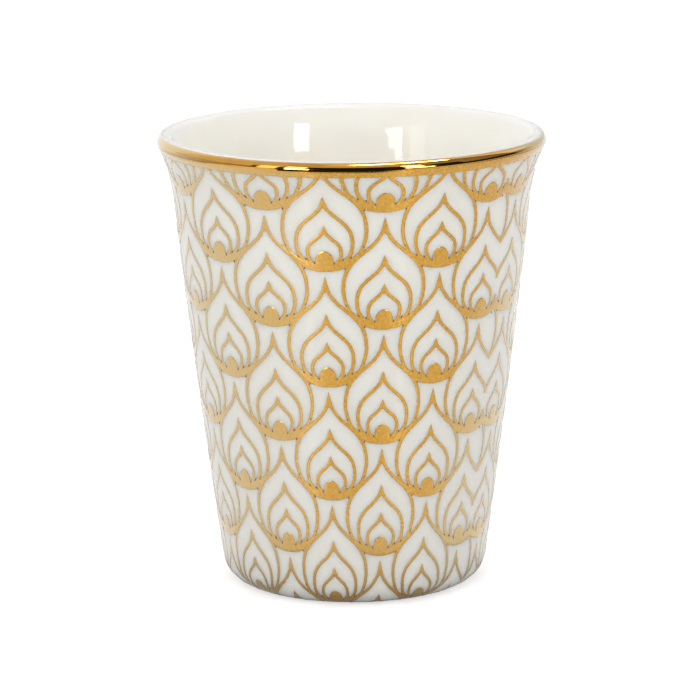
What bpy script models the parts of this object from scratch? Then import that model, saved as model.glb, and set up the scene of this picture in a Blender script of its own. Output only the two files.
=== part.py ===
"""Espresso cup without a handle: a turned porcelain cup with a gold lip line and a gold printed wall.

Metres, +Z up. The origin is on the cup's axis, in the plane that the foot ring stands on.
Run with: blender --background --python part.py
"""

import math
from collections import namedtuple

import bpy

MM = 0.001

# Overall sizes
CUP_HEIGHT = 70.6 * MM
LIP_RADIUS = 30.0 * MM  # outermost point of the lip

# Outer wall
WALL_BASE_RADIUS = 20.1 * MM  # where the wall, run on downwards, would meet the table
SHOULDER_HEIGHT = 54.4 * MM  # the wall starts to flare here
SHOULDER_RADIUS = 26.95 * MM
WALL_BARREL = 0.19 * MM  # swell of the wall half way up to the shoulder
BOTTOM_ROUNDING = 4.2 * MM  # radius between the wall and the foot

# Lip
LIP_ROUNDING = 1.2 * MM  # half the lip's thickness, because the lip is fully round
LIP_LEAN = math.radians(27.0)  # from upright, where the flare runs into the lip

# Inside
SHOULDER_THICKNESS = 2.8 * MM
BASE_THICKNESS = 3.4 * MM  # of the wall, at the level of the table
FLOOR_HEIGHT = 5.0 * MM  # inside floor above the table
FLOOR_ROUNDING = 5.0 * MM  # radius between the inside wall and the floor

# Foot
FOOT_RING_WIDTH = 3.0 * MM
FOOT_RECESS = 1.5 * MM  # depth of the hollow inside the foot ring
RECESS_SLOPE_WIDTH = 1.0 * MM

# Gold, as thin skins let into the porcelain
GOLD_FILM = 0.2 * MM
FILM_CLEARANCE = 0.2 * MM  # between a skin and the porcelain, and between the two skins
LIP_GOLD_START = math.radians(56.0)  # upper edge of the lip line, up round the lip from its outermost point
PRINT_END = math.radians(62.0)  # lower edge of the print, down round the bottom rounding

# Fineness of the faceted surfaces
TURN_STEPS = 60
LIP_STEPS = 5
CREST_STEPS = 3
FLARE_STEPS = 5
WALL_STEPS = 4
ROUNDING_STEPS = 5

Wall = namedtuple("Wall", "base_radius shoulder_radius shoulder_height barrel top_radius top_height")
Station = namedtuple("Station", "radius height out_radius out_height")  # a point and its outward normal


def spread(first, last, steps):
    """Evenly spaced values from first to last, both included."""
    return [first + (last - first) * step / steps for step in range(steps + 1)]


def lip_centre():
    return LIP_RADIUS - LIP_ROUNDING, CUP_HEIGHT - LIP_ROUNDING


def outer_wall():
    """The outside, from the table to where the flare runs into the lip."""
    radius, height = lip_centre()
    return Wall(
        WALL_BASE_RADIUS,
        SHOULDER_RADIUS,
        SHOULDER_HEIGHT,
        WALL_BARREL,
        radius + LIP_ROUNDING * math.cos(LIP_LEAN),
        height - LIP_ROUNDING * math.sin(LIP_LEAN),
    )


def inner_wall():
    """The inside, thinner by the wall and ending on the far side of the round lip."""
    radius, height = lip_centre()
    return Wall(
        WALL_BASE_RADIUS - BASE_THICKNESS,
        SHOULDER_RADIUS - SHOULDER_THICKNESS,
        SHOULDER_HEIGHT,
        WALL_BARREL,
        radius - LIP_ROUNDING * math.cos(LIP_LEAN),
        height + LIP_ROUNDING * math.sin(LIP_LEAN),
    )


def radius_and_slope(wall, height):
    """Radius of a wall at a height, and how fast it widens: a barrelled cone, then a cubic flare."""
    rise = wall.shoulder_height
    widening = wall.shoulder_radius - wall.base_radius
    if height <= rise:
        t = height / rise
        radius = wall.base_radius + widening * t + wall.barrel * 4 * t * (1 - t)
        return radius, (widening + wall.barrel * 4 * (1 - 2 * t)) / rise
    flare = wall.top_height - rise
    t = (height - rise) / flare
    start_slope = (widening - 4 * wall.barrel) / rise
    end_slope = math.tan(LIP_LEAN)
    step_out = wall.top_radius - wall.shoulder_radius
    radius = (
        wall.shoulder_radius
        + step_out * (3 * t**2 - 2 * t**3)
        + flare * start_slope * (t**3 - 2 * t**2 + t)
        + flare * end_slope * (t**3 - t**2)
    )
    slope = (
        step_out / flare * (6 * t - 6 * t**2)
        + start_slope * (3 * t**2 - 4 * t + 1)
        + end_slope * (3 * t**2 - 2 * t)
    )
    return radius, slope


def wall_stations(wall, heights):
    """Points on a wall with the normals that point away from the axis."""
    stations = []
    for height in heights:
        radius, slope = radius_and_slope(wall, height)
        length = math.hypot(1, slope)
        stations.append(Station(radius, height, 1 / length, -slope / length))
    return stations


def arc_stations(centre, rounding, angles):
    """Points round a circle in the profile plane, with the angles measured up from straight out."""
    radius, height = centre
    return [
        Station(
            radius + rounding * math.cos(angle),
            height + rounding * math.sin(angle),
            math.cos(angle),
            math.sin(angle),
        )
        for angle in angles
    ]


def rounding_under(wall, floor, rounding):
    """Centre, wall lean and tangent height of a rounding that joins a wall to a level floor below it."""
    height = floor + rounding
    for _ in range(4):
        radius, slope = radius_and_slope(wall, height)
        lean = math.atan(slope)
        height = floor + rounding * (1 - math.sin(lean))
    return (radius - rounding * math.cos(lean), floor + rounding), lean, height


def inset(stations, depth):
    """The profile points of some stations, moved in by a depth."""
    return [
        (station.radius - depth * station.out_radius, station.height - depth * station.out_height)
        for station in stations
    ]


def lip_line_stations():
    """Outer face of the gold lip line, from its edge on top of the lip to just above the flare."""
    lower_edge = LIP_LEAN - FILM_CLEARANCE / LIP_ROUNDING
    return arc_stations(lip_centre(), LIP_ROUNDING, spread(LIP_GOLD_START, -lower_edge, LIP_STEPS))


def print_stations():
    """Outer face of the gold print, from the top of the flare to the bottom rounding."""
    wall = outer_wall()
    centre, lean, tangent = rounding_under(wall, 0, BOTTOM_ROUNDING)
    flare = wall_stations(wall, spread(wall.top_height, SHOULDER_HEIGHT, FLARE_STEPS))
    straight = wall_stations(wall, spread(SHOULDER_HEIGHT, tangent, WALL_STEPS))
    rounded = arc_stations(centre, BOTTOM_ROUNDING, spread(-lean, -PRINT_END, ROUNDING_STEPS))
    return flare + straight[1:] + rounded[1:]


def inside_profile():
    """From the middle of the inside floor up to the round lip."""
    wall = inner_wall()
    centre, lean, tangent = rounding_under(wall, FLOOR_HEIGHT, FLOOR_ROUNDING)
    rounded = arc_stations(centre, FLOOR_ROUNDING, spread(-math.pi / 2, -lean, ROUNDING_STEPS))
    straight = wall_stations(wall, spread(tangent, SHOULDER_HEIGHT, WALL_STEPS))
    flare = wall_stations(wall, spread(SHOULDER_HEIGHT, wall.top_height, FLARE_STEPS))
    return [(0, FLOOR_HEIGHT)] + inset(rounded + straight[1:] + flare[1:], 0)


def bare_lip_profile():
    """Over the top of the lip, from the inside wall to just short of the gold, and in to the gold's bed."""
    crest = math.pi / 2
    gold_edge = LIP_GOLD_START + FILM_CLEARANCE / LIP_ROUNDING
    inner_side = spread(math.pi - LIP_LEAN, crest, CREST_STEPS)
    outer_side = spread(crest, gold_edge, CREST_STEPS)
    over = arc_stations(lip_centre(), LIP_ROUNDING, inner_side[1:] + outer_side[1:])
    return inset(over, 0) + inset(over[-1:], GOLD_FILM + FILM_CLEARANCE)


def foot_profile():
    """From the lower edge of the print round to the foot ring, and into the hollow under the cup."""
    centre, _, _ = rounding_under(outer_wall(), 0, BOTTOM_ROUNDING)
    print_edge = PRINT_END + FILM_CLEARANCE / BOTTOM_ROUNDING
    rounded = arc_stations(centre, BOTTOM_ROUNDING, spread(-print_edge, -math.pi / 2, ROUNDING_STEPS))
    ring_inside = centre[0] - FOOT_RING_WIDTH
    return (
        inset(rounded[:1], GOLD_FILM + FILM_CLEARANCE)
        + inset(rounded, 0)
        + [(ring_inside, 0), (ring_inside - RECESS_SLOPE_WIDTH, FOOT_RECESS), (0, FOOT_RECESS)]
    )


def body_profile():
    bed = inset(lip_line_stations() + print_stations(), GOLD_FILM + FILM_CLEARANCE)
    return inside_profile() + bare_lip_profile() + bed + foot_profile()


def skin_profile(stations):
    """Closed section of a gold skin: its outer face down, then its inner face up."""
    return inset(stations, 0) + inset(stations, GOLD_FILM)[::-1]


def principled(name, colour, roughness, metallic):
    material = bpy.data.materials.new(name)
    material.use_nodes = True
    shader = material.node_tree.nodes["Principled BSDF"]
    shader.inputs["Base Color"].default_value = (*colour, 1)
    shader.inputs["Roughness"].default_value = roughness
    shader.inputs["Metallic"].default_value = metallic
    material.diffuse_color = (*colour, 1)
    return material


def turned(name, profile, closed, material, parent, collection):
    """A solid turned about +Z from a profile of (radius, height) points."""
    points = [(radius, 0, height) for radius, height in profile]
    edges = [(i, i + 1) for i in range(len(points) - 1)]
    if closed:
        edges.append((len(points) - 1, 0))
    mesh = bpy.data.meshes.new(name)
    mesh.from_pydata(points, edges, [])
    mesh.materials.append(material)
    piece = bpy.data.objects.new(name, mesh)
    piece.parent = parent
    collection.objects.link(piece)
    screw = piece.modifiers.new("turn", "SCREW")
    screw.axis = "Z"
    screw.steps = TURN_STEPS
    screw.render_steps = TURN_STEPS
    screw.use_merge_vertices = True
    screw.merge_threshold = 0.00001
    screw.use_smooth_shade = True
    return piece


def clear_scene():
    for item in list(bpy.data.objects):
        bpy.data.objects.remove(item, do_unlink=True)


def build():
    clear_scene()
    collection = bpy.data.collections.new("espresso_cup")
    bpy.context.scene.collection.children.link(collection)
    axis = bpy.data.objects.new("cup_axis", None)
    collection.objects.link(axis)

    porcelain = principled("glazed_porcelain", (0.80, 0.79, 0.74), 0.12, 0.0)
    bright_gold = principled("bright_gold", (0.62, 0.36, 0.08), 0.08, 1.0)
    satin_gold = principled("satin_gold", (0.63, 0.38, 0.10), 0.32, 1.0)

    turned("porcelain_body", body_profile(), False, porcelain, axis, collection)
    turned("gold_lip_line", skin_profile(lip_line_stations()), True, bright_gold, axis, collection)
    turned("gold_print", skin_profile(print_stations()), True, satin_gold, axis, collection)


build()
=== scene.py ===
import math

import bpy
import numpy as np
from mathutils import Matrix, Vector


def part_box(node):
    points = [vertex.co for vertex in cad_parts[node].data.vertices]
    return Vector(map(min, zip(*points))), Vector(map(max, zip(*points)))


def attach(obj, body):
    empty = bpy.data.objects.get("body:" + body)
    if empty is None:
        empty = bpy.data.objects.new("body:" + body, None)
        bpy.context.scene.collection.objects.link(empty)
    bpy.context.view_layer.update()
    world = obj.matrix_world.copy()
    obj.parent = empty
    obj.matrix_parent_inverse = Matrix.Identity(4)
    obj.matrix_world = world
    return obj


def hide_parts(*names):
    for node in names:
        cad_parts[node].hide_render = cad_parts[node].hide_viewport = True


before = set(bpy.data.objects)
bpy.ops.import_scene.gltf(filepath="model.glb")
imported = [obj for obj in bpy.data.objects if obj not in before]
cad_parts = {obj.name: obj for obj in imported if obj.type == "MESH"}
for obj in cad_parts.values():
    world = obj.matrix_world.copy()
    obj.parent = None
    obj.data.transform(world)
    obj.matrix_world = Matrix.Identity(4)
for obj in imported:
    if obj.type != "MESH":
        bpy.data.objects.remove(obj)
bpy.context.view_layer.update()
mm = 0.001  # lengths below are in millimetres, and meshes are in metres
fullTurn = 2 * math.pi
print("frame loaded:", ", ".join(sorted(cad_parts)))

# the cup's form, as the CAD solids have it
cup = {
    "height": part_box("porcelain_body")[1].z / mm,
    "lipRadius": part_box("gold_lip_line")[1].x / mm,
    "lipRound": 1.2,  # half the thickness of the fully round lip
    "lipLean": 27.0,  # degrees from upright, where the flare runs into the lip
    "shoulderHeight": 54.4,  # the flare starts here
    "shoulderRadius": 26.95,
    "shoulderThick": 2.8,
    "wallBase": 20.1,  # outer radius of the wall, run on down to the table
    "baseThick": 3.4,
    "barrel": 0.19,  # swell of the wall half way up to the shoulder
    "bottomRound": 4.2,
    "floorHeight": 5.0,
    "floorRound": 5.0,
    "footWidth": 3.0,
    "footEdge": 0.5,
    "hollowDepth": 1.5,
    "hollowSlope": 1.0,
    "hollowRound": 0.8,
    "twoLobe": 0.0016,  # out-of-round of the casting at the lip, as a share of the radius
    "twoLobeTurn": 0.7,
    "threeLobe": 0.0008,
    "threeLobeTurn": 2.1,
}

# points along each stretch of the profile, for the cup's mesh and for the finer ruler further down
meshSteps = {
    "lip": 22,
    "flare": 20,
    "wall": 36,
    "bottom": 18,
    "insideFloor": 9,
    "insideRound": 14,
    "insideWall": 32,
    "insideFlare": 18,
    "insideLip": 12,
    "footFlat": 5,
    "footEdge": 6,
    "hollowRound": 6,
    "hollow": 8,
}
rulerSteps = {"lip": 300, "flare": 400, "wall": 800, "bottom": 200}
roundingTries = 4  # enough for a rounding's start and the wall's lean there to agree

lean = math.radians(cup["lipLean"])
lipCentre = (cup["lipRadius"] - cup["lipRound"], cup["height"] - cup["lipRound"])
lipReach = (cup["lipRound"] * math.cos(lean), cup["lipRound"] * math.sin(lean))
outside = {
    "base": cup["wallBase"],
    "shoulder": cup["shoulderRadius"],
    "top": (lipCentre[0] + lipReach[0], lipCentre[1] - lipReach[1]),
}
inside = {
    "base": cup["wallBase"] - cup["baseThick"],
    "shoulder": cup["shoulderRadius"] - cup["shoulderThick"],
    "top": (lipCentre[0] - lipReach[0], lipCentre[1] + lipReach[1]),
}


def arcLine(centre, radius, first, last, count):
    # points round a circle in the profile plane, the angles in degrees up from straight out
    angle = np.radians(np.linspace(first, last, count))
    return np.column_stack((centre[0] + radius * np.cos(angle), centre[1] + radius * np.sin(angle)))


def levelLine(first, last, height, count):
    # points along a level line from one radius to another
    return np.column_stack((np.linspace(first, last, count), np.full(count, height)))


def wallSlope(side, height):
    # how fast the coned part of a wall widens: the cone's own slope and that of the swell
    rise = cup["shoulderHeight"]
    return (side["shoulder"] - side["base"] + 4 * cup["barrel"] * (1 - 2 * height / rise)) / rise


def wallLine(side, heights):
    # radius against height: a cone with a shallow parabola of swell up to the shoulder,
    # then a cubic that leaves the cone smoothly and reaches the lip with the lip's lean
    rise = cup["shoulderHeight"]
    t = np.minimum(heights / rise, 1)
    cone = side["base"] + (side["shoulder"] - side["base"]) * t + cup["barrel"] * 4 * t * (1 - t)
    flare = side["top"][1] - rise
    f = np.clip((heights - rise) / flare, 0, 1)
    stepOut = (side["top"][0] - side["shoulder"]) * (3 * f**2 - 2 * f**3)
    startSlope = wallSlope(side, rise) * (f**3 - 2 * f**2 + f)
    endSlope = math.tan(lean) * (f**3 - f**2)
    return np.column_stack((cone + stepOut + flare * (startSlope + endSlope), heights))


def roundingUnder(side, floor, radius):
    # the arc that joins a wall to a level floor: its centre, the wall's lean there
    # and the height where it starts
    height = floor + radius
    for _ in range(roundingTries):
        tilt = math.atan(wallSlope(side, height))
        height = floor + radius * (1 - math.sin(tilt))
    wallRadius = wallLine(side, np.array([height]))[0, 0]
    return (wallRadius - radius * math.cos(tilt), floor + radius), math.degrees(tilt), height


def outsideLine(steps):
    # from the crest of the lip down the outside to the flat of the foot ring
    centre, tilt, start = roundingUnder(outside, 0, cup["bottomRound"])
    flare = np.linspace(outside["top"][1], cup["shoulderHeight"], steps["flare"])
    wall = np.linspace(cup["shoulderHeight"], start, steps["wall"])
    return np.vstack((
        arcLine(lipCentre, cup["lipRound"], 90, -cup["lipLean"], steps["lip"]),
        wallLine(outside, flare)[1:],
        wallLine(outside, wall)[1:],
        arcLine(centre, cup["bottomRound"], -tilt, -90, steps["bottom"])[1:],
    ))


def insideLine(steps):
    # from the middle of the inside floor up to the crest of the lip
    centre, tilt, start = roundingUnder(inside, cup["floorHeight"], cup["floorRound"])
    wall = np.linspace(start, cup["shoulderHeight"], steps["insideWall"])
    flare = np.linspace(cup["shoulderHeight"], inside["top"][1], steps["insideFlare"])
    return np.vstack((
        levelLine(0, centre[0], cup["floorHeight"], steps["insideFloor"]),
        arcLine(centre, cup["floorRound"], -90, -tilt, steps["insideRound"])[1:],
        wallLine(inside, wall)[1:],
        wallLine(inside, flare)[1:],
        arcLine(lipCentre, cup["lipRound"], 180 - cup["lipLean"], 90, steps["insideLip"])[1:],
    ))


def footLine(steps):
    # from the foot ring's flat round its inner edge, up the slope
    # and over a fillet to the middle of the hollow
    centre, _, _ = roundingUnder(outside, 0, cup["bottomRound"])
    edge = cup["footEdge"]
    slope = math.atan2(cup["hollowDepth"], cup["hollowSlope"])
    edgeCentre = (centre[0] - cup["footWidth"] + edge, edge)
    rounded = arcLine(edgeCentre, edge, -90, -90 - math.degrees(slope), steps["footEdge"])
    fillet = cup["hollowRound"]
    filletStart = cup["hollowDepth"] - fillet + fillet * math.cos(slope)
    climb = (filletStart - rounded[-1, 1]) / math.tan(slope)
    filletCentre = (rounded[-1, 0] - climb - fillet * math.sin(slope), cup["hollowDepth"] - fillet)
    return np.vstack((
        levelLine(centre[0], edgeCentre[0], 0, steps["footFlat"]),
        rounded[1:],
        arcLine(filletCentre, fillet, 90 - math.degrees(slope), 90, steps["hollowRound"]),
        levelLine(filletCentre[0], 0, cup["hollowDepth"], steps["hollow"])[1:],
    ))


def placed(turn, radius, height):
    # cylinder coordinates to the frame, with turn 0 towards -Y and growing to +X;
    # the radius takes the slight two- and three-lobed out-of-round of a slip casting,
    # which grows from the foot to the lip
    lobes = cup["twoLobe"] * np.cos(2 * turn + cup["twoLobeTurn"])
    lobes = lobes + cup["threeLobe"] * np.cos(3 * turn + cup["threeLobeTurn"])
    radius = radius * (1 + lobes * height / cup["height"])
    return np.stack((radius * np.sin(turn), -radius * np.cos(turn), height + 0 * turn), -1) * mm


# a ruler along the outside: distance down from the lip's crest against the profile and its direction
rulerLine = outsideLine(rulerSteps)
rulerStep = np.gradient(rulerLine, axis=0)
rulerStep /= np.linalg.norm(rulerStep, axis=1)[:, None]
rulerDown = np.concatenate(([0], np.cumsum(np.linalg.norm(np.diff(rulerLine, axis=0), axis=1))))
bendStarts = rulerDown[-rulerSteps["bottom"]]  # the bottom rounding starts this far down


def onWall(turn, down, lift):
    # a point of the outside: the profile read at a distance down from the lip's crest,
    # raised by lift along its normal
    def read(column):
        return np.interp(down, rulerDown, column)

    radius = read(rulerLine[:, 0]) - lift * read(rulerStep[:, 1])
    height = read(rulerLine[:, 1]) + lift * read(rulerStep[:, 0])
    return placed(turn, radius, height)


def gridFaces(rows, columns, rowsClose, columnsClose):
    # quads of a grid whose vertices are numbered row by row
    row = np.arange(rows if rowsClose else rows - 1)
    column = np.arange(columns if columnsClose else columns - 1)
    i, j = np.meshgrid(row, column, indexing="ij")
    nextI = (i + 1) % rows
    nextJ = (j + 1) % columns
    corners = (i * columns + j, nextI * columns + j, nextI * columns + nextJ, i * columns + nextJ)
    return np.stack(corners, -1).reshape(-1, 4)


def makePiece(name, points, faces, material, stoodFor, sharpAngle, darkened=None):
    # a mesh at the origin that rides on the frame; the last argument is a share of a darker tone for each
    # vertex, which the gold materials read
    # which the gold materials read
    mesh = bpy.data.meshes.new(name)
    mesh.from_pydata(points.tolist(), [], faces)
    mesh.materials.append(material)
    mesh.shade_smooth()
    mesh.set_sharp_from_angle(angle=math.radians(sharpAngle))
    if darkened is not None:
        shares = mesh.attributes.new("darkened", "FLOAT", "POINT").data
        shares.foreach_set("value", darkened.astype(np.float32))
    piece = bpy.data.objects.new(name, mesh)
    bpy.context.scene.collection.objects.link(piece)
    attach(piece, "root")
    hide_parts(stoodFor)
    print("made", name, "with", len(mesh.polygons), "faces")


# node helpers: a socket as a value is linked, anything else is set
def addNode(tree, kind, inputs=None, **settings):
    node = tree.nodes.new("ShaderNode" + kind)
    for name, value in settings.items():
        setattr(node, name, value)
    for socket, value in (inputs or {}).items():
        if isinstance(value, bpy.types.NodeSocket):
            tree.links.new(value, node.inputs[socket])
        else:
            node.inputs[socket].default_value = value
    return node


def mixColour(tree, factor, first, second):
    # inputs 6 and 7 and output 2 are the Mix node's colours
    return addNode(tree, "Mix", {0: factor, 6: first, 7: second}, data_type="RGBA").outputs[2]


def mathOf(tree, operation, first, second):
    return addNode(tree, "Math", {0: first, 1: second}, operation=operation).outputs[0]


def scaled(tree, value, low, high, fromLow=0.0, fromHigh=1.0, smooth=False):
    inputs = {"Value": value, "From Min": fromLow, "From Max": fromHigh, "To Min": low, "To Max": high}
    kind = "SMOOTHSTEP" if smooth else "LINEAR"
    return addNode(tree, "MapRange", inputs, interpolation_type=kind).outputs["Result"]


mottle = {
    "detail": {"Cloud": 3.0, "Ripple": 1.0},
    "roughness": 0.55,
    "cloudRange": (0.3, 0.7),  # most of the noise lies between these, and is stretched to 0 to 1
}


def makeMottleGroup():
    # soft cloudy mottle and a finer ripple, both from 0 to 1; the sizes are in millimetres
    tree = bpy.data.node_groups.new("softMottle", "ShaderNodeTree")
    tree.interface.new_socket("Vector", in_out="INPUT", socket_type="NodeSocketVector")
    for name in mottle["detail"]:
        tree.interface.new_socket(name + " Size", in_out="INPUT", socket_type="NodeSocketFloat")
        tree.interface.new_socket(name, in_out="OUTPUT", socket_type="NodeSocketFloat")
    given = tree.nodes.new("NodeGroupInput").outputs
    out = tree.nodes.new("NodeGroupOutput")
    for name, detail in mottle["detail"].items():
        frequency = mathOf(tree, "DIVIDE", 1 / mm, given[name + " Size"])
        inputs = {"Vector": given["Vector"], "Scale": frequency, "Detail": detail}
        inputs["Roughness"] = mottle["roughness"]
        noise = addNode(tree, "TexNoise", inputs)
        tree.links.new(noise.outputs["Fac"], out.inputs[name])
    return tree


mottleGroup = makeMottleGroup()


def newMaterial(name):
    material = bpy.data.materials.new(name)
    material.use_nodes = True
    tree = material.node_tree
    return material, tree, tree.nodes["Principled BSDF"]


def addMottle(tree, vector, look):
    # the cloud and the ripple at the sizes that a look gives
    inputs = {"Vector": vector, "Cloud Size": look["cloudSize"], "Ripple Size": look["rippleSize"]}
    node = addNode(tree, "Group", inputs, node_tree=mottleGroup)
    return scaled(tree, node.outputs["Cloud"], 0, 1, *mottle["cloudRange"]), node.outputs["Ripple"]


def addBump(tree, shader, height, depth):
    bump = addNode(tree, "Bump", {"Height": height, "Strength": 1.0, "Distance": depth * mm})
    tree.links.new(bump.outputs["Normal"], shader.inputs["Normal"])


# porcelain: ivory body under a clear glaze, bare and matt on the flat of the foot ring
porcelain = {
    "ivory": (0.972, 0.917, 0.855, 1),
    "ivoryDeep": (0.957, 0.897, 0.825, 1),
    "bareClay": (0.74, 0.71, 0.65, 1),
    "cloudSize": 9.0,
    "rippleSize": 3.2,
    "rippleDepth": 0.012,
    "glazeRoughness": (0.03, 0.06),
    "bareRoughness": 0.6,
    "glazeStarts": (0.03, 0.22),  # heights over which the glaze takes over from the bare foot
    "glazeIor": 1.5,
    "translucence": 1.0,
    "scatterReach": 2.4,  # how far light spreads in the body
    "scatterTint": (1.0, 0.98, 0.94),
    "columns": 288,
    "sharpAngle": 60,
}


def makePorcelainMaterial():
    material, tree, shader = newMaterial("glazed_porcelain")
    place = addNode(tree, "TexCoord").outputs["Object"]
    cloud, ripple = addMottle(tree, place, porcelain)
    height = addNode(tree, "SeparateXYZ", {0: place}).outputs["Z"]
    low, high = porcelain["glazeStarts"]
    glazed = scaled(tree, height, 0, 1, low * mm, high * mm, smooth=True)
    tone = mixColour(tree, cloud, porcelain["ivory"], porcelain["ivoryDeep"])
    gloss = scaled(tree, cloud, *porcelain["glazeRoughness"])
    bare = scaled(tree, glazed, porcelain["bareRoughness"], 0)
    tree.links.new(mixColour(tree, glazed, porcelain["bareClay"], tone), shader.inputs["Base Color"])
    tree.links.new(mathOf(tree, "MAXIMUM", gloss, bare), shader.inputs["Roughness"])
    shader.inputs["IOR"].default_value = porcelain["glazeIor"]
    shader.inputs["Subsurface Weight"].default_value = porcelain["translucence"]
    shader.inputs["Subsurface Radius"].default_value = porcelain["scatterTint"]
    shader.inputs["Subsurface Scale"].default_value = porcelain["scatterReach"] * mm
    addBump(tree, shader, ripple, porcelain["rippleDepth"])
    return material


def makePorcelainCup():
    # a profile turned about the axis: grid of rings by columns, with a fan to the middle of each end
    line = np.vstack((insideLine(meshSteps), outsideLine(meshSteps)[1:], footLine(meshSteps)[1:]))
    columns = porcelain["columns"]
    here = np.arange(columns)
    after = (here + 1) % columns
    rings = placed(here[None, :] * fullTurn / columns, line[1:-1, :1], line[1:-1, 1:])
    ends = [[0, 0, line[0, 1] * mm], [0, 0, line[-1, 1] * mm]]
    points = np.vstack((rings.reshape(-1, 3), ends))
    last = (len(rings) - 1) * columns
    middle = len(points) - 2
    faces = gridFaces(len(rings), columns, False, True).tolist()
    faces += np.column_stack((here, after, np.full(columns, middle))).tolist()
    faces += np.column_stack((after + last, here + last, np.full(columns, middle + 1))).tolist()
    material = makePorcelainMaterial()
    sharpAngle = porcelain["sharpAngle"]
    makePiece("porcelain_cup", points, faces, material, "porcelain_body", sharpAngle)


makePorcelainCup()

# bright gold brushed on the lip; distances are down from the lip's crest, and each edge is uneven,
# a sum of waves given as (waves in a turn, size, start in degrees)
lipGold = {
    "start": 0.585,
    "startWaves": ((3, -0.1, 0), (5, 0.014, 23), (11, 0.01, 53), (23, 0.007, 9)),
    "end": 2.03,
    "endWaves": ((1, -0.26, 0), (2, 0.17, 90), (5, 0.014, 120), (11, 0.01, 277), (23, 0.007, 253)),
    "thick": 0.03,
    "sunk": 0.08,  # the layer's back lies this far inside the porcelain
    "rim": 0.0,
    "columns": 360,
    "gold": (0.76, 0.385, 0.05, 1),
    "goldDeep": (0.68, 0.32, 0.03, 1),
    # the pale tone below is a painted sheen of reflected light, laid on the lip's two sides
    "goldPaintedSheen": (0.71, 0.48, 0.15, 1),
    "paintedSheenSides": (
        {"direction": -80, "fall": 0, "between": (0.8, 0.97), "share": 0.9},
        {"direction": 80, "fall": 0, "between": (0.84, 0.98), "share": 1.0},
    ),
    "goldDarkened": (0.16, 0.07, 0.02, 1),
    "roughness": (0.04, 0.09),
    "coat": 1.0,
    "coatRoughness": 0.03,
    "sheen": 0.0,
    "cloudSize": 2.4,
    "rippleSize": 0.7,
    "rippleDepth": 0.003,
}

# satin gold of the transfer print, and the border line that it ends in under the lip
printGold = {
    "start": 1.65,
    "startWaves": ((5, 0.009, 166), (11, 0.006, 22), (23, 0.005, 122)),
    "end": 3.13,
    "endWaves": ((5, 0.009, 264), (11, 0.006, 246), (23, 0.005, 132)),
    "thick": 0.022,
    "sunk": 0.08,
    "rim": 0.27,  # how far the darker tone comes through along an edge
    "columns": 360,
    "gold": (0.7, 0.385, 0.045, 1),
    "goldDeep": (0.52, 0.248, 0.016, 1),
    # the pale tone below is a painted sheen of reflected light, laid on the print's two sides and towards
    # the base
    "goldPaintedSheen": (0.66, 0.49, 0.23, 1),
    "paintedSheenSides": (
        {"direction": -80, "fall": 0, "between": (0.2, 0.92), "share": 0.8},
        {"direction": 100, "fall": 0.0088, "between": (0.04, 0.5), "share": 0.9},
    ),
    "goldDarkened": (0.17, 0.075, 0.022, 1),
    "roughness": (0.18, 0.32),
    "coat": 1.0,
    "coatRoughness": 0.22,
    "sheen": 0.8,
    "cloudSize": 0.42,
    "rippleSize": 0.12,
    "rippleDepth": 0.006,
}
sheenTint = (1.0, 0.97, 0.9, 1)
sheenRoughness = 0.28
rimWidth = 0.09

# the gold is painted paler on two sides of the cup, whose directions above are in degrees
# to the right of the front, and towards the base between these heights: a painted pale sheen of reflected
# light
paintedSheenLow = {"heights": (26.0, 3.0), "share": 0.36}


def paintedSheenShare(tree, place, look):
    # how much painted pale sheen the gold takes, from 0 to 1: the largest of its share by height and its
    # share on each side, which grows between two values of the cosine of the angle to that side's
    # direction, less a fall for each millimetre up
    height = addNode(tree, "SeparateXYZ", {0: place}).outputs["Z"]
    high, low = (distance * mm for distance in paintedSheenLow["heights"])
    share = scaled(tree, height, paintedSheenLow["share"], 0, low, high, smooth=True)
    level = addNode(tree, "VectorMath", {0: place, 1: (1, 1, 0)}, operation="MULTIPLY").outputs["Vector"]
    outward = addNode(tree, "VectorMath", {0: level}, operation="NORMALIZE").outputs["Vector"]
    for side in look["paintedSheenSides"]:
        turn = math.radians(side["direction"])
        towards = (math.sin(turn), -math.cos(turn), 0)
        cosine = addNode(tree, "VectorMath", {0: outward, 1: towards}, operation="DOT_PRODUCT")
        fallen = mathOf(tree, "MULTIPLY", height, side["fall"] / mm)
        facing = mathOf(tree, "SUBTRACT", cosine.outputs["Value"], fallen)
        onSide = scaled(tree, facing, 0, side["share"], *side["between"], smooth=True)
        share = mathOf(tree, "MAXIMUM", share, onSide)
    return share


def makeGoldMaterial(name, look):
    # metal whose tone and gloss drift with the mottle, paler where a pale sheen of reflected light is
    # painted on, darker where its share of the darker tone is set
    material, tree, shader = newMaterial(name)
    place = addNode(tree, "TexCoord").outputs["Object"]
    cloud, ripple = addMottle(tree, place, look)
    tone = mixColour(tree, cloud, look["gold"], look["goldDeep"])
    # the pale tone mixed in here is a painted sheen of reflected light
    tone = mixColour(tree, paintedSheenShare(tree, place, look), tone, look["goldPaintedSheen"])
    darkened = addNode(tree, "Attribute", attribute_name="darkened").outputs["Fac"]
    tree.links.new(mixColour(tree, darkened, tone, look["goldDarkened"]), shader.inputs["Base Color"])
    tree.links.new(scaled(tree, cloud, *look["roughness"]), shader.inputs["Roughness"])
    shader.inputs["Metallic"].default_value = 1.0
    shader.inputs["Coat Weight"].default_value = look["coat"]
    shader.inputs["Coat Roughness"].default_value = look["coatRoughness"]
    shader.inputs["Sheen Weight"].default_value = look["sheen"]
    shader.inputs["Sheen Roughness"].default_value = sheenRoughness
    shader.inputs["Sheen Tint"].default_value = sheenTint
    addBump(tree, shader, ripple, look["rippleDepth"])
    return material


def rimShare(fromEdge, share):
    # how much of the darker tone shows: all of the share at an edge,
    # falling evenly to nothing over the rim's width
    return share * np.clip(1 - fromEdge / rimWidth, 0, 1)


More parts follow.
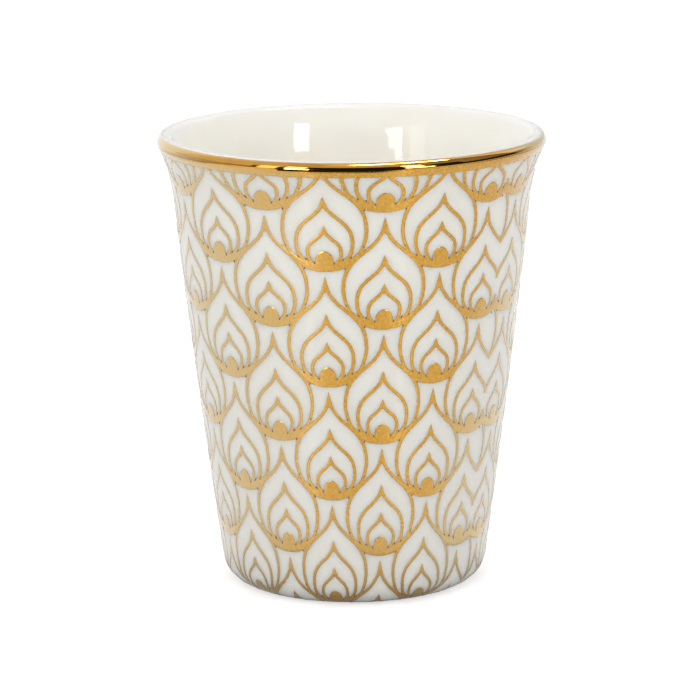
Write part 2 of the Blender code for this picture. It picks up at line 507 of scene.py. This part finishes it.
# how a gold ring lies: stations across its face and its back, and the rise of the face from each edge
ring = {
    "faceStations": 13,
    "backStations": 3,
    "riseShare": 0.06,  # share of the width over which the face rises
    "risePower": 0.5,
    "sharpAngle": 75,
}


def makeGoldRing(name, look, material, stoodFor):
    # a closed ring lying on the outside: across it, the face swells from its two edges as a root
    # and the back is sunk; round it, each edge is a sum of sine waves
    turn = np.arange(look["columns"]) * fullTurn / look["columns"]

    def edge(down, waves):
        swing = (size * np.sin(count * turn + math.radians(start)) for count, size, start in waves)
        return down + sum(swing)

    across = np.linspace(0, 1, ring["faceStations"])
    back = np.linspace(1, 0, ring["backStations"])
    face = np.minimum(1, np.minimum(across, 1 - across) / ring["riseShare"]) ** ring["risePower"]
    share = np.concatenate((across, back))
    lift = np.concatenate((look["thick"] * face, np.full(len(back), -look["sunk"])))
    first = edge(look["start"], look["startWaves"])
    last = edge(look["end"], look["endWaves"])
    down = first[None, :] + (last - first)[None, :] * share[:, None]
    points = onWall(turn[None, :] + 0 * down, down, lift[:, None] + 0 * down).reshape(-1, 3)
    darkened = rimShare(np.minimum(share, 1 - share)[:, None] * (last - first)[None, :], look["rim"])
    faces = gridFaces(len(share), look["columns"], True, True).tolist()
    makePiece(name, points, faces, material, stoodFor, ring["sharpAngle"], darkened.ravel())


brightGold = makeGoldMaterial("bright_gold", lipGold)
satinGold = makeGoldMaterial("satin_gold", printGold)
makeGoldRing("gold_lip", lipGold, brightGold, "gold_lip_line")
makeGoldRing("print_border", printGold, satinGold, "gold_print")

# the print's motif, in millimetres about the middle of its dot: three ogees inside each other,
# a dot, a crescent, and small dark specks at the corners of the gaps;
# half of each ogee is two curves that meet at its widest point, with handles that apexOut, apexDrop,
# shoulder, underDrop and underIn place; halfPen is half the width of its stroke, steps are
# its stations above and below the widest point, stop is the share of the lower curve that is drawn,
# columns are the stations across a stroke, and firstColumn is the lattice column where the copies start
printRadius = 24.5  # the flat drawing is wound on the cup at this radius, so it widens with the flare
ogees = {
    "outer": {
        "apex": 14.335,
        "apexOut": 0.95,
        "apexDrop": 4.6,
        "shoulder": 5.84,
        "halfWidth": 5.68,
        "widest": 4.41,
        "underDrop": 1.34,
        "underIn": 5.0,
        "foot": -1.67,
        "halfPen": 0.257,
        "steps": (14, 8),
        "stop": 0.8,
        "lift": 0.012,
        "columns": 5,
        "firstColumn": -1,
    },
    "middle": {
        "apex": 8.85,
        "apexOut": 0.81,
        "apexDrop": 2.75,
        "shoulder": 3.52,
        "halfWidth": 3.82,
        "widest": 2.52,
        "underDrop": 2.98,
        "underIn": 1.82,
        "foot": -1.0,
        "halfPen": 0.257,
        "steps": (12, 8),
        "stop": 0.8,
        "lift": 0.015,
        "columns": 5,
        "firstColumn": 0,
    },
    "small": {
        "apex": 4.51,
        "apexOut": 0.557,
        "apexDrop": 1.6,
        "shoulder": 1.8,
        "halfWidth": 2.28,
        "widest": 1.05,
        "underDrop": 1.15,
        "underIn": 1.45,
        "foot": -1.35,
        "halfPen": 0.252,
        "steps": (10, 6),
        "stop": 0.8,
        "lift": 0.015,
        "columns": 5,
        "firstColumn": 0,
    },
}
mitreClear = 1.05  # the station next to an apex lies this far out, with the mitre's inner corner at 1
crescent = {
    "rise": -1.01,  # height of its upper edge, a parabola, in the middle
    "bend": 0.099,
    "from": 0.46,  # share of the outer ogee's lower curve at the crescent's tips
    "steps": 12,
    "lift": 0.017,
    "columns": 6,
    "firstColumn": 0,
}
dot = {
    "top": 1.25,
    "halfWidth": 1.217,
    "straightTo": 0.0,
    "foot": -1.2,
    "point": 1.75,  # power of the dome: 2 is an ellipse, less is more pointed
    "tipShare": 0.997,  # the tip keeps a trace of width, so its cap isn't a single point
    "steps": 12,
    "lift": 0.02,
    "columns": 9,
    "firstColumn": 0,
}
darkSpecks = {
    # each at a distance out and a distance up, leaning by degrees from upright
    "spots": ((1.3, -0.8, 14), (2.46, -0.2, 20), (3.48, 0.15, 32), (5.2, 1.8, 24), (2.72, -1.24, 164)),
    "length": 0.42,
    "halfWidth": 0.1,
    "endWidth": 0.25,  # share of the width that is left at the ends
    "steps": 4,
    "lift": 0.03,
    "columns": 3,
    "firstColumn": 0,
}

# how a stroke lies: a low bead, its back sunk in the porcelain
bead = {
    "rise": 0.03,
    "shoulder": 0.27,  # the bead is flat further than this from its edges
    "sunk": 0.06,
    "bendStep": 0.35,  # longest step between stations on the bottom rounding
    "sharpAngle": 40,
}

# how the motif repeats: half-drop columns round the cup from the seam, rows down the wall
lattice = {
    "firstColumn": 64.6,  # degrees to the right of the front
    "columnStep": 19.083,
    "columns": 19,
    "stretch": 1.56,  # degrees; the transfer was eased round the front of the cup
    "stretchRest": 0.68,
    "twist": 0.0057,  # degrees for each millimetre down
    "twistRest": 38.0,
    "tilt": 0.005,
    "firstRow": 7.02,  # distance down from the lip's crest
    "rowStep": 9.105,
    "rows": 5,
    "top": 3.0,
    "bottom": 73.1,
    "seamLeft": 56.05,  # where the print's two ends meet
    "seamRight": 55.7,
}


def bezier(p0, p1, p2, p3, t):
    # cubic curve and its direction at the shares t
    t = t[:, None]
    p0, p1, p2, p3 = (np.array(p, float) for p in (p0, p1, p2, p3))
    point = p0 * (1 - t) ** 3 + 3 * p1 * (1 - t) ** 2 * t + 3 * p2 * (1 - t) * t**2 + p3 * t**3
    along = (p1 - p0) * (1 - t) ** 2 + 2 * (p2 - p1) * (1 - t) * t + (p3 - p2) * t**2
    return point, along / np.linalg.norm(along, axis=1)[:, None]


def ogeeUpper(o, t):
    # from the apex, hollow and then round, to the widest point
    apexHandle = (o["apexOut"], o["apex"] - o["apexDrop"])
    widestHandle = (o["halfWidth"], o["widest"] + o["shoulder"])
    return bezier((0, o["apex"]), apexHandle, widestHandle, (o["halfWidth"], o["widest"]), t)


def ogeeLower(o, t):
    # from the widest point round to the foot under the dot
    widestHandle = (o["halfWidth"], o["widest"] - o["underDrop"])
    footHandle = (o["underIn"], o["foot"])
    return bezier((o["halfWidth"], o["widest"]), widestHandle, footHandle, (0, o["foot"]), t)


def leftOf(along, halfWidth):
    # the step from a stroke's middle line to the edge on its left
    return np.column_stack((-along[:, 1], along[:, 0])) * halfWidth


def ogeeStroke(o):
    # one pen stroke from the left foot over the apex to the right foot: middle line and the step
    # to its outer edge; at the apex the two sides meet in a mitre, so the next station lies clear
    # of the mitre's inner corner: its share of the cubic is that way over three times the first handle
    half = math.atan2(o["apexOut"], o["apexDrop"])
    handle = math.hypot(o["apexOut"], o["apexDrop"])
    mitre = o["halfPen"] / math.sin(half)
    clear = mitreClear * o["halfPen"] / math.tan(half) / (3 * handle)
    upper, upperAlong = ogeeUpper(o, np.linspace(clear, 1, o["steps"][0]))
    lower, lowerAlong = ogeeLower(o, np.linspace(0, o["stop"], o["steps"][1])[1:])
    side = np.vstack((upper, lower))
    step = leftOf(np.vstack((upperAlong, lowerAlong)), o["halfPen"])
    mirror = np.array([-1, 1])
    line = np.vstack((side[::-1] * mirror, [[0, o["apex"]]], side))
    edge = np.vstack((step[::-1] * mirror, [[0, mitre]], step))
    return np.hstack((line, edge))


def crescentStroke():
    # the band between the outer ogee's lower edge and a shallow parabola, as a stroke of changing width
    o = ogees["outer"]
    line, along = ogeeLower(o, np.linspace(crescent["from"], 1, crescent["steps"]))
    step = leftOf(along, o["halfPen"])
    under = line + step
    above = np.column_stack((line[:, 0], crescent["rise"] + crescent["bend"] * line[:, 0] ** 2))
    above[:, 1] = np.maximum(above[:, 1], (line - step)[:, 1])
    half = np.hstack(((under + above) / 2, (under - above) / 2))
    mirror = np.array([-1, 1, -1, 1])
    return np.vstack((half, half[-2::-1] * mirror))


def dotStroke():
    # upright stroke whose half width is constant low down and closes in a slightly pointed dome
    share = np.sin(np.linspace(0, math.pi / 2, dot["steps"]))
    share[-1] = dot["tipShare"]
    rise = dot["straightTo"] + (dot["top"] - dot["straightTo"]) * share
    halfWidth = dot["halfWidth"] * (1 - share ** dot["point"]) ** (1 / dot["point"])
    rise = np.concatenate(([dot["foot"]], rise))
    halfWidth = np.concatenate(([dot["halfWidth"]], halfWidth))
    none = np.zeros(len(rise))
    return np.column_stack((none, rise, -halfWidth, none))


def darkSpeckStroke(spot, side):
    # a short drop from the corner of a gap into it, its width half a sine wave above that of its ends
    x, y, slant = spot
    angle = math.radians(slant)
    along = np.array([[side * math.sin(angle), math.cos(angle)]])
    share = np.linspace(0, 1, darkSpecks["steps"])[:, None]
    line = np.array([[side * x, y]]) + along * darkSpecks["length"] * share
    end = darkSpecks["endWidth"]
    halfWidth = darkSpecks["halfWidth"] * (end + (1 - end) * np.sin(math.pi * share))
    return np.hstack((line, leftOf(along, 1) * halfWidth))


def keptRuns(stroke, room):
    # the stretches of a stroke where there is room, with a station added
    # where the room passes through zero
    keep = room > 0
    if keep.all():
        return [stroke]
    cross = np.flatnonzero(keep[1:] != keep[:-1])
    t = (room[cross] / (room[cross] - room[cross + 1]))[:, None]
    joints = stroke[cross] + t * (stroke[cross + 1] - stroke[cross])
    runs = []
    for i, part in enumerate(np.split(stroke, cross + 1)):
        if not keep[0 if i == 0 else cross[i - 1] + 1]:
            continue
        before = joints[i - 1 : i] if i > 0 else joints[:0]
        after = joints[i : i + 1] if i < len(joints) else joints[:0]
        runs.append(np.vstack((before, part, after)))
    return [run for run in runs if len(run) > 1]


def refined(run, down0):
    # even steps put in between stations that lie on the bottom rounding,
    # so that the stroke follows the bend
    down = down0 - run[:, 1]
    reach = np.linalg.norm(np.diff(run[:, :2], axis=0), axis=1)
    bent = np.maximum(down[1:], down[:-1]) > bendStarts
    parts = np.where(bent, np.ceil(reach / bead["bendStep"]), 1).astype(int)
    start = np.repeat(np.arange(len(parts)), parts)
    share = (np.arange(len(start)) - np.repeat(np.cumsum(parts) - parts, parts)) / parts[start]
    return np.vstack((run[start] + share[:, None] * (run[start + 1] - run[start]), run[-1:]))


def columnTurn(column):
    # even steps round the cup, eased by a slow wave
    even = math.radians(lattice["firstColumn"] + lattice["columnStep"] * column)
    return even + math.radians(lattice["stretch"]) * (math.cos(even) - lattice["stretchRest"])


def roomAlong(stroke, column, turn0, down0):
    # how far each station of a stroke lies inside the border, the base and the seam
    down = down0 - stroke[:, 1]
    turn = turn0 + stroke[:, 0] / printRadius
    room = np.minimum(down - lattice["top"], lattice["bottom"] - down)
    if column == lattice["columns"] - 1:
        room = np.minimum(room, (math.radians(lattice["seamLeft"]) + fullTurn - turn) * printRadius)
    if column <= 0:
        room = np.minimum(room, (turn - math.radians(lattice["seamRight"])) * printRadius)
    return room


def layStroke(stroke, turn0, down0, look, tone):
    # closed ribbon on the wall: across it a bead swells from both edges as a parabola,
    # and its back is sunk; the whole print is twisted and tilted a little, as it was laid;
    # tone is the least share of the darker tone
    across = np.sin(np.linspace(-math.pi / 2, math.pi / 2, look["columns"]))
    share = np.concatenate(([-1], across, [1]))
    flat = stroke[:, None, :2] + share[None, :, None] * stroke[:, None, 2:]
    down = down0 - flat[..., 1]
    twisted = math.radians(lattice["twist"]) * (down - lattice["twistRest"])
    turn = turn0 + flat[..., 0] / printRadius + twisted
    down = down * (1 + lattice["tilt"] * np.sin(turn))
    fromEdge = (1 - abs(share))[None, :] * np.linalg.norm(stroke[:, 2:], axis=1)[:, None]
    swell = 1 - (1 - np.minimum(fromEdge / bead["shoulder"], 1)) ** 2
    lift = look["lift"] + bead["rise"] * swell
    lift[:, [0, -1]] = -bead["sunk"]
    darkened = np.maximum(rimShare(fromEdge, printGold["rim"]), tone)
    return onWall(turn, down, lift).reshape(-1, 3), darkened.ravel()


def strokeFaces(stations, section, first):
    # sides of a ribbon whose vertices are numbered from first, and a cap at each end
    start = np.arange(section) + first
    end = start[::-1] + (stations - 1) * section
    sides = gridFaces(stations, section, False, True) + first
    return sides.tolist() + [start.tolist(), end.tolist()]


def layPrint(name, strokes, look, tone=0.0):
    # copies of the strokes at every place of the lattice, cut at the border, the base and the seam
    points, darkened, faces = [], [], []
    count = 0
    section = look["columns"] + 2  # with the two sunk edges of the back
    for column in range(look["firstColumn"], lattice["columns"]):
        turn0 = columnTurn(column)
        for row in range(lattice["rows"]):
            down0 = lattice["firstRow"] + (2 * row + column % 2) * lattice["rowStep"]
            for stroke in strokes:
                room = roomAlong(stroke, column, turn0, down0)
                for run in keptRuns(stroke, room):
                    run = refined(run, down0)
                    laid, shares = layStroke(run, turn0, down0, look, tone)
                    points.append(laid)
                    darkened.append(shares)
                    faces += strokeFaces(len(run), section, count)
                    count += len(laid)
    points = np.vstack(points)
    darkened = np.concatenate(darkened)
    makePiece(name, points, faces, satinGold, "gold_print", bead["sharpAngle"], darkened)


for ogeeName, ogee in ogees.items():
    layPrint("print_ogees_" + ogeeName, [ogeeStroke(ogee)], ogee)
layPrint("print_crescents", [crescentStroke()], crescent)
layPrint("print_dots", [dotStroke()], dot)
darkSpeckStrokes = [darkSpeckStroke(spot, side) for spot in darkSpecks["spots"] for side in (-1, 1)]
layPrint("print_dark_specks", darkSpeckStrokes, darkSpecks, tone=1.0)

# studio: pale floor, white surroundings, soft boxes, and cards round the cup that only reflections show;
# the floor's lift makes it white to the eye, and fades out under the cup between two distances
# from the axis; angles are in degrees to the right of the front
studio = {
    "fill": 0.94,
    "floorSize": 3000,
    "floorSunk": 0.02,
    "floorGrey": 0.525,
    "eyeLift": 0.62,
    "eyeFade": (14.8, 17.0),
    "mirrorLift": 0.45,
    "mirrorFade": (20, 42),
    "sides": (82, 108),  # angles either way between which the fade for mirrors draws in
    "sideStretch": 1.5,
    # narrow brighter sectors of the floor in mirrors, each with an edge in degrees
    "shines": (
        {"direction": -27, "edge": (1, 4), "lift": 0.6, "fade": (25, 75)},
        {"direction": 31, "edge": (1, 4), "lift": 0.6, "fade": (25, 75)},
    ),
    "aim": (0, 0, 60),
    "boxAway": 620,  # from the aim
    "cardRadius": 700,
    "cardEdge": 699,  # where a card that has no shelf or no lid stops
    "cardColumns": 40,
}
# soft boxes that only mirrors see, and a key that they don't see
softBoxes = {
    "left": {"azimuth": -32.6, "elevation": 24, "size": (114, 146), "glow": 6.0},
    "leftMiddle": {"azimuth": -35.4, "elevation": 13.2, "size": (58, 88), "glow": 6.0},
    "leftLow": {"azimuth": -31, "elevation": 4, "size": (150, 130), "glow": 13.0},
    "right": {"azimuth": 37.5, "elevation": 25, "size": (116, 200), "glow": 8.0},
    "rightLow": {"azimuth": 40, "elevation": 7.3, "size": (185, 54), "glow": 12.0},
    "farLeft": {"azimuth": -49.5, "elevation": 14, "away": 650, "size": (136, 400), "glow": 1.3},
    "above": {"azimuth": 62, "elevation": 72.4, "roll": -16, "away": 700, "size": (520, 60), "glow": 26.0},
}
keyBox = {"azimuth": -10, "elevation": 40, "size": (300, 300), "glow": 2.3}
# a card is carried round the cup's axis and seen only from within: a level shelf out from
# its inner radius, a wall between two heights and a lid in to a radius;
# inner radius and grey change evenly along the arc
cards = {
    "farLeft": {"arc": (-125, -61), "inner": (37, 37), "rise": (64, 190), "grey": (1.0, 0.35)},
    "darkLeft": {"arc": (-61, -55.5), "inner": (110, 110), "rise": (64, 400), "grey": (0.15, 0.02)},
    "paleLeft": {"arc": (-55.5, -43.5), "inner": (110, 96), "rise": (64, 400), "grey": (0.7, 0.8)},
    "frontLeft": {"arc": (-43.5, -40), "inner": (96, 84), "rise": (64, 500), "grey": (0.02, 0.02)},
    "frontTurn": {"arc": (-40, -27), "inner": (84, 37), "rise": (64, 500), "grey": (0.02, 0.02)},
    "front": {"arc": (-27, 10), "inner": (37, 36), "rise": (64, 500), "grey": (0.02, 0.02)},
    "right": {"arc": (10, 70), "inner": (36, 74), "rise": (64, 500), "grey": (0.02, 0.02)},
    "rightTurn": {"arc": (70, 112), "inner": (74, 101), "rise": (64, 300), "grey": (0.02, 0.02)},
    "rightEnd": {"arc": (112, 136), "inner": (101, 101), "rise": (64, 330), "grey": (0.25, 1.0)},
    "farRight": {"arc": (136, 190), "inner": (101, 101), "rise": (64, 1400), "grey": (0.9, 1.0)},
    "overFarLeft": {"arc": (-120, -95), "rise": (190, 1400), "lid": 250, "grey": (1.0, 0.95)},
    "overLeft": {"arc": (-95, -60), "rise": (190, 1400), "lid": 250, "grey": (0.95, 0.95)},
    "overFront": {"arc": (-60, -25), "rise": (400, 1400), "lid": 250, "grey": (0.95, 0.75)},
    "over": {"arc": (-25, 40), "rise": (500, 1200), "grey": (0.82, 0.82)},
    "overRight": {"arc": (40, 70), "rise": (500, 1400), "lid": 1, "grey": (0.6, 0.42)},
    "overRightTurn": {"arc": (70, 112), "rise": (300, 1400), "lid": 1, "grey": (0.42, 0.24)},
}


def mattMaterial(name, grey):
    material, tree, shader = newMaterial(name)
    shader.inputs["Base Color"].default_value = (grey, grey, grey, 1)
    shader.inputs["Roughness"].default_value = 1.0
    shader.inputs["Specular IOR Level"].default_value = 0.0
    return material, tree, shader


def mirrorRay(tree):
    # 1 for rays that left a mirror or glass, else 0
    path = addNode(tree, "LightPath").outputs
    return mathOf(tree, "MAXIMUM", path["Is Glossy Ray"], path["Is Transmission Ray"])


def eyeRay(tree):
    return addNode(tree, "LightPath").outputs["Is Camera Ray"]


def stagePiece(name, points, faces, material):
    mesh = bpy.data.meshes.new(name)
    mesh.from_pydata(points, [], faces)
    mesh.materials.append(material)
    piece = bpy.data.objects.new(name, mesh)
    bpy.context.scene.collection.objects.link(piece)
    return piece


def makeFloor():
    # a large matt square whose lift is the sum of one for the eye and one for mirror rays,
    # which also see the shines; each lift grows from nothing between two distances from the axis
    material, tree, shader = mattMaterial("pale_floor", studio["floorGrey"])
    place = addNode(tree, "TexCoord").outputs["Object"]
    away = addNode(tree, "VectorMath", {0: place}, operation="LENGTH").outputs["Value"]
    axes = addNode(tree, "SeparateXYZ", {0: place}).outputs
    turn = mathOf(tree, "ARCTAN2", axes["X"], mathOf(tree, "MULTIPLY", axes["Y"], -1))

    def faded(lift, distance, fade):
        first, last = (edge * mm for edge in fade)
        return mathOf(tree, "MULTIPLY", lift, scaled(tree, distance, 0, 1, first, last, smooth=True))

    eye = mathOf(tree, "MULTIPLY", eyeRay(tree), faded(studio["eyeLift"], away, studio["eyeFade"]))
    near, far = np.radians(studio["sides"])
    aside = mathOf(tree, "ABSOLUTE", turn, 0)
    stretch = scaled(tree, aside, 1, studio["sideStretch"], near, far, smooth=True)
    stretched = mathOf(tree, "MULTIPLY", away, stretch)
    shine = faded(studio["mirrorLift"], stretched, studio["mirrorFade"])
    for sector in studio["shines"]:
        aside = mathOf(tree, "SUBTRACT", turn, math.radians(sector["direction"]))
        aside = mathOf(tree, "ABSOLUTE", aside, 0)
        near, far = np.radians(sector["edge"])
        lift = scaled(tree, aside, sector["lift"], 0, near, far, smooth=True)
        shine = mathOf(tree, "ADD", shine, faded(lift, stretched, sector["fade"]))
    mirror = mathOf(tree, "MULTIPLY", mirrorRay(tree), shine)
    glow = addNode(tree, "Emission", {"Strength": mathOf(tree, "ADD", eye, mirror)})
    both = addNode(tree, "AddShader", {0: shader.outputs[0], 1: glow.outputs[0]})
    tree.links.new(both.outputs[0], tree.nodes["Material Output"].inputs["Surface"])
    half = studio["floorSize"] * mm / 2
    low = -studio["floorSunk"] * mm
    corners = [(-half, -half, low), (half, -half, low), (half, half, low), (-half, half, low)]
    stagePiece("floor", corners, [(0, 1, 2, 3)], material)


def makeSurroundings():
    # white to the eye and to mirrors, and an even light of its own strength on everything else
    world = bpy.data.worlds.new("surroundings")
    bpy.context.scene.world = world
    world.use_nodes = True
    tree = world.node_tree
    seen = mathOf(tree, "MAXIMUM", eyeRay(tree), mirrorRay(tree))
    tree.links.new(scaled(tree, seen, studio["fill"], 1.0), tree.nodes["Background"].inputs["Strength"])
    tree.nodes["Background"].inputs["Color"].default_value = (1, 1, 1, 1)


def makeSoftBox(name, box, forMirrors):
    # rectangle of even glow, a power of pi times glow times area, turned to the aim
    turn, rise = math.radians(box["azimuth"]), math.radians(box["elevation"])
    away = Vector((math.sin(turn) * math.cos(rise), -math.cos(turn) * math.cos(rise), math.sin(rise)))
    light = bpy.data.lights.new("soft_box_" + name, "AREA")
    light.shape = "RECTANGLE"
    light.size = box["size"][0] * mm
    light.size_y = box["size"][1] * mm
    light.energy = math.pi * box["glow"] * light.size * light.size_y
    lamp = bpy.data.objects.new(light.name, light)
    lamp.location = (Vector(studio["aim"]) + away * box.get("away", studio["boxAway"])) * mm
    roll = Matrix.Rotation(math.radians(box.get("roll", 0)), 3, "Z")
    facing = away.to_track_quat("Z", "Y").to_matrix() @ roll
    lamp.rotation_euler = facing.to_euler()
    lamp.visible_diffuse = not forMirrors
    lamp.visible_glossy = forMirrors
    bpy.context.scene.collection.objects.link(lamp)


def makeCard(name, card):
    # shelf, wall and lid carried round an arc; its back is clear, and only mirror rays see its front
    material, tree, shader = mattMaterial("card_" + name, 0)
    painted = addNode(tree, "Attribute", attribute_name="grey").outputs["Fac"]
    tree.links.new(painted, shader.inputs["Base Color"])
    back = addNode(tree, "NewGeometry").outputs["Backfacing"]
    clear = addNode(tree, "BsdfTransparent").outputs[0]
    oneSided = addNode(tree, "MixShader", {0: back, 1: shader.outputs[0], 2: clear})
    tree.links.new(oneSided.outputs[0], tree.nodes["Material Output"].inputs["Surface"])
    turn = np.radians(np.linspace(*card["arc"], studio["cardColumns"]))
    edge = studio["cardEdge"]
    inner = np.linspace(*card.get("inner", (edge, edge)), len(turn))
    outer = np.full(len(turn), studio["cardRadius"])
    lid = np.full(len(turn), card.get("lid", edge))
    radius = np.stack((inner, outer, outer, lid))
    height = np.repeat(card["rise"], 2)[:, None]
    grey = np.linspace(*card["grey"], len(turn)) + 0 * radius
    points = np.stack((radius * np.sin(turn), -radius * np.cos(turn), height + 0 * turn), -1) * mm
    faces = gridFaces(len(height), len(turn), False, False).tolist()
    piece = stagePiece("card_" + name, points.reshape(-1, 3).tolist(), faces, material)
    greyOfPoint = piece.data.attributes.new("grey", "FLOAT", "POINT").data
    greyOfPoint.foreach_set("value", grey.ravel().astype(np.float32))
    piece.visible_camera = False
    piece.visible_diffuse = False
    piece.visible_shadow = False


camera = {
    "place": (0, -587.3, 163.82),
    "pitch": 0.2143,  # radians down from level
    "yaw": 0.0008,
    "roll": -0.0081,
    "lens": 197.96,
    "nearest": 10,
}


def makeCamera():
    data = bpy.data.cameras.new("camera")
    data.lens = camera["lens"]
    data.clip_start = camera["nearest"] * mm
    eye = bpy.data.objects.new("camera", data)
    turn = Matrix.Rotation(camera["yaw"], 4, "Z") @ Matrix.Rotation(math.pi / 2 - camera["pitch"], 4, "X")
    turn = turn @ Matrix.Rotation(camera["roll"], 4, "Z")
    eye.matrix_world = Matrix.Translation(Vector(camera["place"]) * mm) @ turn
    bpy.context.scene.collection.objects.link(eye)
    bpy.context.scene.camera = eye


makeFloor()
makeSurroundings()
for boxName, softBox in softBoxes.items():
    makeSoftBox(boxName, softBox, True)
makeSoftBox("key", keyBox, False)
for cardName, cardLook in cards.items():
    makeCard(cardName, cardLook)
makeCamera()
bpy.context.scene.view_settings.view_transform = "Standard"
print("studio ready")
